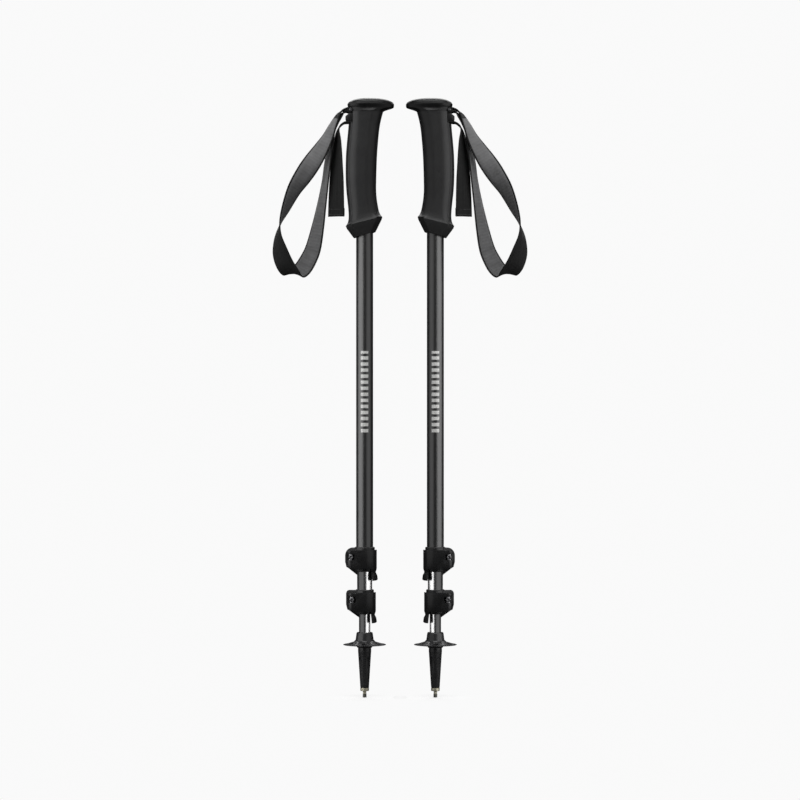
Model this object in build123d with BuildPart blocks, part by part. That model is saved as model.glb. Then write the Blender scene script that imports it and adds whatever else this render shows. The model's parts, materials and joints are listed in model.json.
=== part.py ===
"""A pair of three-section telescoping trekking poles, collapsed, each with two flip locks and a wrist strap.

Row frame: millimetres, +Z up along the shafts, the tips stand on Z = 0 and the pair's mid-plane is X = 0.
Each sub-part is made once for the left pole, in a frame whose Z axis is that pole's shaft axis.
The strap and the locks' ears lie towards -X, the grip's beak towards +X, and the levers close over -Y.
The right pole is the left one mirrored in the mid-plane.
"""

import os
from collections import namedtuple
from math import cos, pi, radians, sin

from build123d import *

# Driving dimensions
AXIS_X = 37.5  # each shaft's axis, from the pair's mid-plane
UPPER_R, MIDDLE_R, LOWER_R = 9.0, 8.0, 6.0  # shaft outside radii
WALL = 0.9  # shaft wall
RUNNING = 0.05  # radial gap of a part that slides or turns in another
FITTED = 0.02  # radial gap of a part that is glued or clamped on another

UPPER_LOCK_Z, LOWER_LOCK_Z = 136.0, 91.0  # undersides of the two locks' levers
LOCK_H = 23.4  # height of a lock's sleeve above that
UPPER_TOP, MIDDLE_TOP, LOWER_TOP = 600.0, 578.0, 560.0  # upper ends of the three tubes
TIP_SOCKET_Z = 50.0  # where the lower tube ends inside the tip

GRIP_BOTTOM_Z, GRIP_RIM_Z, GRIP_TOP_Z = 490.0, 504.0, 620.0
STRAP_W, STRAP_T = 20.0, 1.5  # webbing
STRAP_PIN_X, STRAP_PIN_Z, STRAP_PIN_R = -14.5, 622.0, 1.5
STRAP_HINGE_X, STRAP_HINGE_Z = -20.3, 622.3  # where the webbing bends as it leaves the cap
POCKET_W = STRAP_W + 1.5  # slot in the head of the grip that takes the webbing
POCKET_X, POCKET_FLOOR = -10.0, 608.4
WEDGE_NOSE_X = -20.2

BASKET_R = 22.6
BASKET_HUB_TOP, BASKET_HUB_BOTTOM = 69.0, 52.8
TIP_TOP, TIP_BOTTOM = 67.5, 10.1
TIP_NECK_R, TIP_END_R = 7.0, 4.6
CARBIDE_R, CARBIDE_H = 2.0, 3.8

# A lock clamps the end of the tube of radius seat round the tube of radius through. Its ears' top corner is round.
Lock = namedtuple("Lock", "name seat through z corner")
UPPER_LOCK = Lock("upper_lock", UPPER_R, MIDDLE_R, UPPER_LOCK_Z, 8.0)
LOWER_LOCK = Lock("lower_lock", MIDDLE_R, LOWER_R, LOWER_LOCK_Z, 3.5)
SLEEVE_T = 1.8  # a lock's sleeve
LIP_H = 2.5  # its lip below the clamped tube's end
SLIT_W = 2.0
EAR_FRONT, EAR_REAR = -5.0, 5.5  # outside faces of a lock's two ears
BOLT_OUT = 5.4  # screw axis, outside the clamped tube's surface
EAR_REACH = 6.2  # the ears reach this far past the screw axis
SCREW_UP = 13.2  # screw axis above the lever's underside
SCREW_R, HEAD_R, HEAD_H = 1.5, 2.4, 1.6
BARREL_R = 2.4
CAM_R, CAM_OFFSET = 4.1, 0.4  # the lever's round end and its eccentricity
PIVOT_Y = EAR_FRONT - CAM_R - CAM_OFFSET - 0.1
LEVER_GAP, LEVER_T = 0.3, 1.8
LEVER_H = 20.4
TAB_DROP = 12.0  # the finger tab below the lever
TAB_NECK, TAB_BULGE = 1.0, 0.8  # how far the tab's outside goes in above its hooked end, and out at that end
TAB_START, TAB_SWEEP = -54.0, 60.0  # where the tab lies round the shaft, in degrees
WINDOW_R, WINDOW_H = 5.3, 6.4  # the gap in the lever's round end, round the screw
NUT_AF, NUT_H = 5.5, 2.4


def tube(radius, bottom, top, slit):
    """One shaft, with a slit of that height up from its clamped end."""
    with BuildPart() as shaft:
        with BuildSketch(Plane.XY.offset(bottom)):
            Circle(radius)
            Circle(radius - WALL, mode=Mode.SUBTRACT)
        extrude(amount=top - bottom)
        if slit:
            with Locations((-radius / 2 - 2, 0, bottom + slit / 2)):
                Box(radius, SLIT_W, slit, mode=Mode.SUBTRACT)
    return shaft.part


def shaft_plug():
    """Closes the top of the upper tube inside the grip."""
    with BuildPart() as plug:
        with BuildSketch(Plane.XY.offset(UPPER_TOP - 9)):
            Circle(UPPER_R - WALL - FITTED)
        extrude(amount=9)
        with BuildSketch(Plane.XY.offset(UPPER_TOP)):
            Circle(UPPER_R - FITTED)
        extrude(amount=3)
        chamfer(plug.faces().sort_by(Axis.Z)[-1].edges(), 0.8)
    return plug.part


def slide_bushing(tube_r, outer_r, top, height):
    """A ring that centres the top of one tube in the next, on a stem that fits inside the tube."""
    bore = tube_r - WALL - 2.0
    with BuildPart() as bushing:
        with BuildSketch(Plane.XY.offset(top - height + 2)):
            Circle(tube_r - WALL - FITTED)
            Circle(bore, mode=Mode.SUBTRACT)
        extrude(amount=height - 2)
        with BuildSketch(Plane.XY.offset(top)):
            Circle(outer_r - WALL - RUNNING)
            Circle(bore, mode=Mode.SUBTRACT)
        extrude(amount=height)
        chamfer(bushing.faces().sort_by(Axis.Z)[-1].edges(), 0.5)
    return bushing.part


def lock_liner(lock):
    """The split sleeve that fills the gap between the clamped tube and the thinner one in it."""
    height = LOCK_H
    with BuildPart() as liner:
        with BuildSketch(Plane.XY.offset(lock.z)):
            Circle(lock.seat - WALL - FITTED)
            Circle(lock.through + RUNNING, mode=Mode.SUBTRACT)
            with Locations((-lock.seat / 2 - 2, 0)):
                Rectangle(lock.seat, SLIT_W, mode=Mode.SUBTRACT)
        extrude(amount=height)
    return liner.part


def lock_collar(lock):
    """The clamp: a split sleeve with a lip under the tube's end, and two ears that the screw pulls together."""
    outer = lock.seat + SLEEVE_T
    bolt_x = -(lock.seat + BOLT_OUT)
    ear_x = bolt_x - EAR_REACH
    top = lock.z + LOCK_H
    with BuildPart() as collar:
        with BuildSketch(Plane.XY.offset(lock.z - LIP_H)):
            Circle(outer)
        extrude(amount=LIP_H + LOCK_H)
        edges = collar.edges().filter_by(GeomType.CIRCLE)
        chamfer(edges, 0.6)
        with BuildSketch(Plane.XZ.offset(-EAR_REAR)):
            with BuildLine():
                Polyline(
                    (-outer / 2, top - 0.8),
                    (ear_x, top - 0.8),
                    (ear_x, lock.z + 8.0),
                    (ear_x + 1.4, lock.z + 2.4),
                    (ear_x + 5.5, lock.z + 0.6),
                    (-outer / 2, lock.z + 0.6),
                    close=True,
                )
            make_face()
            corner = vertices().filter_by_position(Axis.X, ear_x - 0.1, ear_x + 0.1)
            fillet(corner.filter_by_position(Axis.Y, top - 1, top), lock.corner)
        extrude(amount=EAR_REAR - EAR_FRONT)
        with BuildSketch(Plane.XZ.offset(-EAR_REAR)):
            with BuildLine():
                Polyline(
                    (-lock.through + 1.6, lock.z + 2.0),
                    (ear_x + 1.6, lock.z + 4.0),
                    (ear_x + 2.6, lock.z + 1.5),
                    (-lock.through + 1.6, lock.z - 7.6),
                    close=True,
                )
            make_face()
        extrude(amount=EAR_REAR - SLIT_W / 2)
        with BuildSketch(Plane.XY.offset(lock.z - 10)):
            Circle(lock.through + 0.25)
        extrude(amount=10 + LOCK_H, mode=Mode.SUBTRACT)
        with BuildSketch(Plane.XY.offset(lock.z)):
            Circle(lock.seat + FITTED)
        extrude(amount=LOCK_H + 1, mode=Mode.SUBTRACT)
        with Locations((ear_x - 1 + lock.seat, 0, lock.z + LOCK_H / 2)):
            Box(2 * lock.seat, SLIT_W, LOCK_H + 40, mode=Mode.SUBTRACT)
        with BuildSketch(Plane.XZ.offset(-EAR_REAR - 1)):
            with Locations((bolt_x, lock.z + SCREW_UP)):
                Circle(SCREW_R + 0.15)
        extrude(amount=EAR_REAR - EAR_FRONT + 2, mode=Mode.SUBTRACT)
        with BuildSketch(Plane.XZ.offset(-EAR_REAR)):
            with Locations((bolt_x, lock.z + SCREW_UP)):
                RegularPolygon(NUT_AF / 2 + 0.06, 6, major_radius=False)
        extrude(amount=NUT_H, mode=Mode.SUBTRACT)
    return collar.part


def ring_stretch(radius_in, radius_out, start, end):
    """A stretch of ring between two angles in degrees, less than half a turn apart."""
    reach = 3 * radius_out
    corners = [(reach * cos(radians(a)), reach * sin(radians(a))) for a in (start, (start + end) / 2, end)]
    with BuildSketch() as stretch:
        Circle(radius_out)
        Circle(radius_in, mode=Mode.SUBTRACT)
        with BuildLine():
            Polyline((0, 0), *corners, close=True)
        make_face(mode=Mode.INTERSECT)
    return stretch.sketch


def lever_tab(inner, outer, z):
    """The finger tab below the lever's far end: it hooks outwards, so that a finger catches it."""
    low = z - TAB_DROP
    with BuildPart() as tab:
        with BuildSketch(Plane.XZ.rotated((0, 0, TAB_START))):
            with BuildLine():
                outside = Spline(
                    (outer - 0.1, z + 1.0),
                    (outer - TAB_NECK, z - 3.4),
                    (outer + TAB_BULGE - 0.3, z - 6.6),
                    (outer + TAB_BULGE, low + 3.2),
                    (outer - 0.6, low),
                    tangents=((0, -1), (-1, -0.25)),
                )
                Polyline(
                    outside @ 1,
                    (inner - 0.2, low),
                    (inner - 0.5, low + 1.0),
                    (inner - 0.5, z - LIP_H - 1.2),
                    (inner + 0.05, z - LIP_H - 0.4),
                    (inner + 0.05, z + 1.0),
                    outside @ 0,
                )
            make_face()
        revolve(axis=Axis.Z, revolution_arc=TAB_SWEEP)
    return tab.part


def lock_lever(lock):
    """The cam lever, which turns on the barrel and wraps round the front of the sleeve to a finger tab."""
    inner = lock.seat + SLEEVE_T + LEVER_GAP
    outer = inner + LEVER_T
    bolt_x = -(lock.seat + BOLT_OUT)
    low, high = lock.z + 0.4, lock.z + LEVER_H
    with BuildPart() as lever:
        with BuildSketch(Plane.XY.offset(low)):
            add(ring_stretch(inner, outer, -112, 8))
            with BuildLine():
                Polyline(
                    (bolt_x, PIVOT_Y - CAM_R + CAM_OFFSET),
                    (0, -outer),
                    (0, -inner),
                    (bolt_x + 6.0, EAR_FRONT - 0.9),
                    (bolt_x + 2.0, EAR_FRONT - 0.6),
                    close=True,
                )
            make_face()
            Circle(inner, mode=Mode.SUBTRACT)
            with Locations((bolt_x, PIVOT_Y + CAM_OFFSET)):
                Circle(CAM_R)
        extrude(amount=high - low)
        add(lever_tab(inner, outer, lock.z))
        # The side view of the lever: a tall round-cornered plate, with the finger tab below its far end.
        with BuildSketch(Plane.XZ.offset(2 * outer)):
            left, right, bottom = bolt_x - CAM_R - 1, outer + 2, lock.z - TAB_DROP - 1
            with BuildLine():
                Polyline(
                    (left, lock.z + 4.2),
                    (left, high),
                    (right, high),
                    (right, bottom),
                    (0.66 * outer, bottom),
                    (0.54 * outer, low),
                    (left + 6.0, low),
                    close=True,
                )
            make_face()
            inside = vertices().filter_by_position(Axis.Y, low - 0.1, low + 0.1)
            fillet(inside.sort_by(Axis.X)[-1], 1.6)
            top = vertices().filter_by_position(Axis.Y, high - 0.1, high + 0.1)
            fillet(top.sort_by(Axis.X)[0], 5.6)
        extrude(amount=-4 * outer, mode=Mode.INTERSECT)
        with Locations((bolt_x, PIVOT_Y, lock.z + SCREW_UP)):
            Cylinder(WINDOW_R, WINDOW_H, mode=Mode.SUBTRACT)
            Cylinder(BARREL_R + RUNNING, 3 * LEVER_H, mode=Mode.SUBTRACT)
    return lever.part


def lock_barrel(lock):
    """The cross-drilled pivot that the lever turns on and the screw passes through."""
    bolt_x = -(lock.seat + BOLT_OUT)
    with BuildPart() as barrel:
        with BuildSketch(Plane.XY.offset(lock.z + 1.2)):
            with Locations((bolt_x, PIVOT_Y)):
                Circle(BARREL_R)
        extrude(amount=LEVER_H - 2.0)
        chamfer(barrel.edges().filter_by(GeomType.CIRCLE), 0.4)
        with BuildSketch(Plane.XZ.offset(-PIVOT_Y - BARREL_R - 1)):
            with Locations((bolt_x, lock.z + SCREW_UP)):
                Circle(SCREW_R + RUNNING)
        extrude(amount=2 * BARREL_R + 2, mode=Mode.SUBTRACT)
    return barrel.part


def lock_screw(lock):
    """The tension screw: its head bears on the barrel and its end is in the nut."""
    bolt_x, z = -(lock.seat + BOLT_OUT), lock.z + SCREW_UP
    head_y = PIVOT_Y - BARREL_R - RUNNING
    with BuildPart() as screw:
        with BuildSketch(Plane.XZ.offset(-EAR_REAR)):
            with Locations((bolt_x, z)):
                Circle(SCREW_R)
        extrude(amount=EAR_REAR - head_y)
        with BuildSketch(Plane.XZ.offset(-head_y)):
            with Locations((bolt_x, z)):
                Circle(HEAD_R)
        extrude(amount=HEAD_H)
        front = screw.faces().sort_by(Axis.Y)[0]
        fillet(front.edges(), 0.7)
        with Locations((bolt_x, head_y - HEAD_H, z)):
            Box(3.0, 1.8, 0.7, mode=Mode.SUBTRACT)
            Box(0.7, 1.8, 3.0, mode=Mode.SUBTRACT)
    return screw.part


def lock_nut(lock):
    """The captive nut in the rear ear."""
    bolt_x, z = -(lock.seat + BOLT_OUT), lock.z + SCREW_UP
    with BuildPart() as nut:
        with BuildSketch(Plane.XZ.offset(-EAR_REAR)):
            with Locations((bolt_x, z)):
                RegularPolygon(NUT_AF / 2, 6, major_radius=False)
                Circle(SCREW_R + FITTED, mode=Mode.SUBTRACT)
        extrude(amount=NUT_H)
    return nut.part


def tilted(x, z, degrees):
    """A plane across the grip, tilted so that its +X side is the higher."""
    a = radians(degrees)
    return Plane(origin=(x, 0, z), x_dir=(cos(a), 0, sin(a)), z_dir=(-sin(a), 0, cos(a)))


# Grip sections from the rim up: centre x and z, tilt, width, depth, corner radius.
GRIP_SECTIONS = [
    (-0.7, GRIP_RIM_Z, 14.3, 39.6, 31.0, 8.0),
    (-0.9, GRIP_RIM_Z + 4.6, 13.6, 35.6, 28.6, 9.5),
    (-1.5, GRIP_RIM_Z + 11.5, 10.9, 32.0, 27.2, 11.0),
    (-3.1, GRIP_RIM_Z + 27.0, 6.5, 31.4, 27.0, 12.0),
    (-4.0, GRIP_RIM_Z + 43.0, 2.5, 32.2, 27.6, 12.4),
    (-3.9, GRIP_RIM_Z + 58.0, 0.0, 32.7, 28.0, 12.6),
    (-2.3, GRIP_RIM_Z + 85.4, 0.0, 32.8, 27.8, 12.4),
    (-1.0, GRIP_RIM_Z + 100.0, 0.0, 32.8, 27.6, 12.0),
    (0.1, GRIP_RIM_Z + 108.5, 0.0, 33.6, 28.2, 12.0),
    (1.4, GRIP_TOP_Z, 0.0, 35.8, 29.0, 12.0),
]
RIM_BAND = 0.8  # the upright band of the rim, above the lower cone
FLANGE_CORNER = 6.2  # the rim's cut corners


def cut_corner_rectangle(width, depth, cut):
    """A rectangle with its corners cut off."""
    x, y = width / 2, depth / 2
    with BuildSketch() as outline:
        with BuildLine():
            Polyline(
                (-x, -y + cut),
                (-x + cut, -y),
                (x - cut, -y),
                (x, -y + cut),
                (x, y - cut),
                (x - cut, y),
                (-x + cut, y),
                (-x, y - cut),
                close=True,
            )
        make_face()
    return outline.sketch


def strap_pocket(bottom, top):
    """The slot that the webbing and its wedge sit in, to be cut out."""
    with BuildPart() as pocket:
        with Locations((POCKET_X - 9.0, 0, (bottom + top) / 2)):
            Box(18.0, POCKET_W, top - bottom)
    return pocket.part


def grip():
    """The moulded handle, with its tilted, faceted hand stop."""
    with BuildPart() as body:
        for x, z, tilt, width, depth, corner in GRIP_SECTIONS:
            with BuildSketch(tilted(x, z, tilt)):
                RectangleRounded(width, depth, corner)
        loft()
        rim_x, rim_z, rim_tilt, rim_width, rim_depth, _ = GRIP_SECTIONS[0]
        rim = tilted(rim_x, rim_z, rim_tilt)
        with BuildSketch(rim):
            add(cut_corner_rectangle(rim_width, rim_depth + 0.6, FLANGE_CORNER))
        extrude(amount=-RIM_BAND)
        with BuildSketch(rim.offset(-RIM_BAND)):
            add(cut_corner_rectangle(rim_width, rim_depth + 0.6, FLANGE_CORNER))
        with BuildSketch(tilted(0, GRIP_BOTTOM_Z, 15.7)):
            add(cut_corner_rectangle(24.2, 23.6, 5.6))
        loft(ruled=True)
        with BuildSketch(Plane.XY.offset(GRIP_BOTTOM_Z - 10)):
            Circle(UPPER_R + FITTED)
        extrude(amount=UPPER_TOP + 3.2 - GRIP_BOTTOM_Z + 10, mode=Mode.SUBTRACT)
        add(strap_pocket(POCKET_FLOOR, GRIP_TOP_Z + 1), mode=Mode.SUBTRACT)
    return body.part


# Cap sections from the grip up: height, rear x, front x, depth, and how far the front narrows to the beak.
CAP_SECTIONS = [
    (GRIP_TOP_Z, -16.5, 19.3, 29.0, 0.0),
    (GRIP_TOP_Z + 1.8, -16.6, 21.6, 29.3, 0.08),
    (GRIP_TOP_Z + 4.3, -17.0, 29.2, 30.6, 0.3),
    (GRIP_TOP_Z + 6.3, -18.0, 31.0, 32.6, 0.36),
    (GRIP_TOP_Z + 8.3, -18.2, 31.2, 33.0, 0.36),
    (GRIP_TOP_Z + 10.6, -16.4, 29.0, 31.0, 0.34),
    (GRIP_TOP_Z + 12.8, -12.0, 24.0, 25.6, 0.28),
    (GRIP_TOP_Z + 14.3, -6.5, 16.5, 17.4, 0.16),
    (GRIP_TOP_Z + 15.0, -0.5, 8.5, 7.0, 0.0),
]
CAP_POINTS = 16


def egg(rear, front, depth, narrow):
    """A closed smooth outline, widest towards the rear."""
    centre, half = (rear + front) / 2, (front - rear) / 2
    points = []
    for i in range(CAP_POINTS):
        t = 2 * pi * i / CAP_POINTS
        side = 1 - narrow * (1 + cos(t)) / 2
        square = 1 + 0.10 * sin(2 * t) ** 2
        points.append((centre + half * cos(t) * square, depth / 2 * sin(t) * side * square))
    with BuildSketch() as outline:
        with BuildLine():
            Spline(points, periodic=True)
        make_face()
    return outline.sketch


def grip_cap():
    """The hard top of the grip, a dome with a beak over a neck that carries the strap pin."""
    with BuildPart() as cap:
        for z, rear, front, depth, narrow in CAP_SECTIONS:
            with BuildSketch(Plane.XY.offset(z)):
                add(egg(rear, front, depth, narrow))
        loft()
        add(strap_pocket(GRIP_TOP_Z - 1, STRAP_PIN_Z + 3.7), mode=Mode.SUBTRACT)
        with BuildSketch(Plane.XZ.offset(-13.0)):
            with Locations((STRAP_PIN_X, STRAP_PIN_Z)):
                Circle(STRAP_PIN_R + FITTED)
        extrude(amount=26.0, mode=Mode.SUBTRACT)
    return cap.part


def strap_pin():
    """The steel pin across the head, which the webbing is sewn round."""
    with BuildPart() as pin:
        with BuildSketch(Plane.XZ.offset(-12.9)):
            with Locations((STRAP_PIN_X, STRAP_PIN_Z)):
                Circle(STRAP_PIN_R)
        extrude(amount=25.8)
        chamfer(pin.edges().filter_by(GeomType.CIRCLE), 0.3)
    return pin.part


def strap_wedge():
    """The block under the pin that jams the webbing, with a round nose outside the grip."""
    with BuildPart() as wedge:
        with BuildSketch(Plane.XZ.offset(-STRAP_W / 2)):
            with BuildLine():
                Polyline(
                    (POCKET_X - 0.3, POCKET_FLOOR + STRAP_T + 0.3),
                    (WEDGE_NOSE_X, POCKET_FLOOR + STRAP_T + 0.3),
                    (WEDGE_NOSE_X, 615.2),
                    (-16.2, 618.4),
                    (POCKET_X - 0.3, 618.4),
                    close=True,
                )
            make_face()
            nose = vertices().filter_by_position(Axis.X, WEDGE_NOSE_X - 0.1, WEDGE_NOSE_X + 0.1)
            fillet(nose, 1.8)
        extrude(amount=STRAP_W)
    return wedge.part


def strap_root():
    """The webbing's fixed end: its eye round the pin, and the stub that leaves the head."""
    with BuildPart() as root:
        with BuildSketch(Plane.XZ.offset(-STRAP_W / 2)):
            with Locations((STRAP_PIN_X, STRAP_PIN_Z)):
                Circle(STRAP_PIN_R + RUNNING + STRAP_T)
            with Locations(((STRAP_PIN_X - 18.2) / 2, STRAP_HINGE_Z)):
                Rectangle(STRAP_PIN_X + 18.2, 2 * STRAP_T)
            with Locations((STRAP_PIN_X, STRAP_PIN_Z)):
                Circle(STRAP_PIN_R + RUNNING, mode=Mode.SUBTRACT)
        extrude(amount=STRAP_W)
    return root.part


# The wrist loop's route: the webbing's middle, then the direction across it from one edge to the other.
LOOP_ROUTE = [
    ((-20.6, 0.0, 623.1), (0.0, 1.0, 0.0)),
    ((-24.2, 0.0, 621.4), (-0.06, 1.0, 0.03)),
    ((-28.3, -0.3, 617.2), (-0.2, 0.97, 0.1)),
    ((-33.8, -0.8, 606.0), (-0.38, 0.90, 0.2)),
    ((-39.4, -1.4, 593.2), (-0.55, 0.78, 0.30)),
    ((-47.0, -2.2, 580.0), (-0.76, 0.53, 0.38)),
    ((-54.9, -3.0, 567.7), (-0.89, 0.15, 0.42)),
    ((-65.4, -3.8, 552.0), (-0.83, -0.35, 0.42)),
    ((-74.8, -4.6, 537.3), (-0.64, -0.72, 0.30)),
    ((-83.5, -5.4, 517.6), (-0.36, -0.92, 0.12)),
    ((-89.3, -6.2, 502.0), (0.0, -1.0, 0.0)),
    ((-91.2, -6.8, 487.0), (0.42, -0.90, 0.08)),
    ((-88.9, -7.2, 471.0), (0.84, -0.53, 0.1)),
    ((-84.2, -6.6, 458.5), (0.97, -0.22, 0.04)),
    ((-78.6, -2.6, 451.2), (1.0, -0.04, -0.04)),
    ((-72.6, 3.4, 449.6), (0.99, 0.0, -0.13)),
    ((-66.2, 8.2, 454.6), (0.95, -0.2, -0.2)),
    ((-60.0, 10.2, 464.6), (0.90, -0.36, -0.2)),
    ((-54.8, 10.4, 477.0), (0.83, -0.53, -0.17)),
    ((-49.9, 9.4, 499.0), (0.67, -0.73, -0.11)),
    ((-45.6, 7.8, 523.3), (0.49, -0.87, -0.08)),
    ((-41.8, 6.0, 547.6), (0.37, -0.93, -0.06)),
    ((-39.4, 4.4, 567.0), (0.34, -0.94, -0.06)),
    ((-36.4, 2.6, 585.0), (0.26, -0.96, -0.04)),
    ((-33.3, 1.2, 599.4), (0.19, -0.98, -0.06)),
    ((-30.0, 0.5, 609.0), (0.22, -0.97, -0.14)),
    ((-25.8, 0.1, 616.2), (0.17, -0.97, -0.18)),
    ((-20.6, 0.0, 620.9), (0.0, -1.0, 0.0)),
]
# The loose tail's route, from under the wedge to its sewn end.
TAIL_ROUTE = [
    ((-10.4, 0.0, 609.15), (0.0, -1.0, 0.0)),
    ((-19.0, 0.0, 609.15), (0.0, -1.0, 0.0)),
    ((-22.6, 0.0, 608.3), (0.02, -1.0, -0.02)),
    ((-26.2, 0.0, 605.2), (0.05, -1.0, 0.0)),
    ((-28.3, -0.1, 600.6), (0.14, -0.99, 0.0)),
    ((-28.9, -0.3, 590.4), (0.38, -0.92, 0.0)),
    ((-29.2, -0.6, 577.0), (0.53, -0.85, 0.0)),
    ((-29.5, -1.0, 563.5), (0.64, -0.77, 0.0)),
    ((-29.7, -1.4, 548.0), (0.75, -0.66, 0.0)),
    ((-30.0, -1.8, 527.0), (0.83, -0.56, 0.0)),
    ((-30.1, -2.0, 509.6), (0.86, -0.50, -0.04)),
]


def webbing(route):
    """Flat webbing along a route, as a chain of straight-sided lengths."""
    middles = [Vector(*middle) for middle, _ in route]
    sections = []
    for i, (middle, across) in enumerate(route):
        along = middles[min(i + 1, len(route) - 1)] - middles[max(i - 1, 0)]
        across = Vector(*across).normalized()
        along = (along - across * along.dot(across)).normalized()
        sections.append(Plane(origin=middle, x_dir=across, z_dir=along))
    with BuildPart() as band:
        for start, end in zip(sections, sections[1:]):
            with BuildSketch(start, end):
                Rectangle(STRAP_W, STRAP_T)
            loft(ruled=True)
    return band.part


def strap_loop():
    """The wrist loop, with its two ends joined at the place where the webbing bends as it swings."""
    with BuildPart() as loop:
        add(webbing(LOOP_ROUTE))
        with BuildSketch(Plane.XZ.offset(-STRAP_W / 2 + 0.5)):
            with Locations((STRAP_HINGE_X, STRAP_HINGE_Z)):
                Circle(STRAP_T + 0.2)
        extrude(amount=STRAP_W - 1)
    return loop.part


def strap_tail():
    """The loose end of the webbing, folded over and sewn at its end."""
    return webbing(TAIL_ROUTE)


BASKET_WINDOWS = 6


def basket():
    """The trekking basket: a thin hollow-topped dish with six windows, on a hub that grips the tip."""
    root_z, rim_z, dish_t = 61.0, 56.8, 1.1
    with BuildPart() as dish:
        with BuildSketch(Plane.XZ):
            with BuildLine():
                Polyline(
                    (9.6, root_z),
                    (8.7, BASKET_HUB_TOP - 1.2),
                    (8.4, BASKET_HUB_TOP - 0.4),
                    (8.0, BASKET_HUB_TOP),
                    (TIP_NECK_R + RUNNING, BASKET_HUB_TOP),
                    (TIP_NECK_R + RUNNING, BASKET_HUB_BOTTOM),
                    (TIP_NECK_R + 0.8, BASKET_HUB_BOTTOM),
                    (TIP_NECK_R + 2.4, root_z - 5.2),
                    (BASKET_R - 1.4, rim_z - dish_t - 0.2),
                    (BASKET_R, rim_z - dish_t),
                    (BASKET_R, rim_z - 0.6),
                )
                Spline((BASKET_R, rim_z - 0.6), (13.4, 58.4), (9.6, root_z), tangents=((-1, 0.1), (-0.3, 1)))
            make_face()
        revolve(axis=Axis.Z)
        with BuildSketch(Plane.XY.offset(rim_z - 10)):
            with PolarLocations(15.8, BASKET_WINDOWS, start_angle=30):
                SlotCenterToCenter(2.4, 5.0)
        extrude(amount=30, mode=Mode.SUBTRACT)
        with BuildSketch(Plane.XY.offset(rim_z - 10)):
            with PolarLocations(BASKET_R + 2.6, 2 * BASKET_WINDOWS, start_angle=15):
                Circle(3.6)
        extrude(amount=30, mode=Mode.SUBTRACT)
        for i in range(BASKET_WINDOWS):
            with BuildSketch(Plane.XZ.rotated((0, 0, 360 * i / BASKET_WINDOWS))):
                with BuildLine():
                    Polyline(
                        (8.6, root_z + 1.2),
                        (11.4, root_z - 1.8),
                        (18.5, rim_z + 0.3),
                        (18.5, rim_z - 0.8),
                        (8.6, rim_z - 0.4),
                        close=True,
                    )
                make_face()
            extrude(amount=0.6, both=True)
    return dish.part


def tip_body():
    """The moulded tip that holds the lower tube's end, tapering to the ferrule."""
    with BuildPart() as tip:
        with BuildSketch(Plane.XZ):
            with BuildLine():
                Polyline(
                    (0, TIP_BOTTOM),
                    (TIP_END_R - 0.3, TIP_BOTTOM),
                    (TIP_END_R, TIP_BOTTOM + 0.8),
                    (TIP_NECK_R - 0.15, BASKET_HUB_BOTTOM - 6),
                    (TIP_NECK_R, BASKET_HUB_BOTTOM - 4),
                    (TIP_NECK_R, TIP_TOP),
                    (0, TIP_TOP),
                    close=True,
                )
            make_face()
        revolve(axis=Axis.Z)
        with BuildSketch(Plane.XY.offset(TIP_SOCKET_Z)):
            Circle(LOWER_R + FITTED)
        extrude(amount=TIP_TOP - TIP_SOCKET_Z, mode=Mode.SUBTRACT)
        with BuildSketch(Plane.XY.offset(TIP_BOTTOM)):
            Circle(3.0 + FITTED)
        extrude(amount=12.0 + FITTED, mode=Mode.SUBTRACT)
        # Flutes that lighten the taper.
        with BuildSketch(Plane.XY.offset(16.0)):
            with PolarLocations(8.2, 4, start_angle=45):
                Circle(2.6)
        extrude(amount=26.0, mode=Mode.SUBTRACT)
    return tip.part


def tip_ferrule():
    """The metal seat pressed into the tip's end, which holds the carbide."""
    with BuildPart() as ferrule:
        with BuildSketch(Plane.XZ):
            with BuildLine():
                Polyline(
                    (0, CARBIDE_H),
                    (1.8, CARBIDE_H),
                    (1.8, 6.2),
                    (2.6, 6.9),
                    (4.2, 6.9),
                    (4.6, 7.4),
                    (4.6, TIP_BOTTOM),
                    (3.0, TIP_BOTTOM),
                    (3.0, TIP_BOTTOM + 12.0),
                    (0, TIP_BOTTOM + 12.0),
                    close=True,
                )
            make_face()
        revolve(axis=Axis.Z)
        with BuildSketch(Plane.XY.offset(CARBIDE_H)):
            Circle(1.2 + FITTED)
        extrude(amount=6.0 + FITTED, mode=Mode.SUBTRACT)
    return ferrule.part


def carbide_tip():
    """The hard pin that bites the ground: a hollow-ground crown on a stem in the ferrule."""
    with BuildPart() as carbide:
        with BuildSketch(Plane.XZ):
            with BuildLine():
                Polyline(
                    (0, 1.3),
                    (1.5, 0),
                    (CARBIDE_R, 0),
                    (CARBIDE_R, CARBIDE_H),
                    (1.2, CARBIDE_H),
                    (1.2, CARBIDE_H + 6.0),
                    (0, CARBIDE_H + 6.0),
                    close=True,
                )
            make_face()
        revolve(axis=Axis.Z)
    return carbide.part


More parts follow.
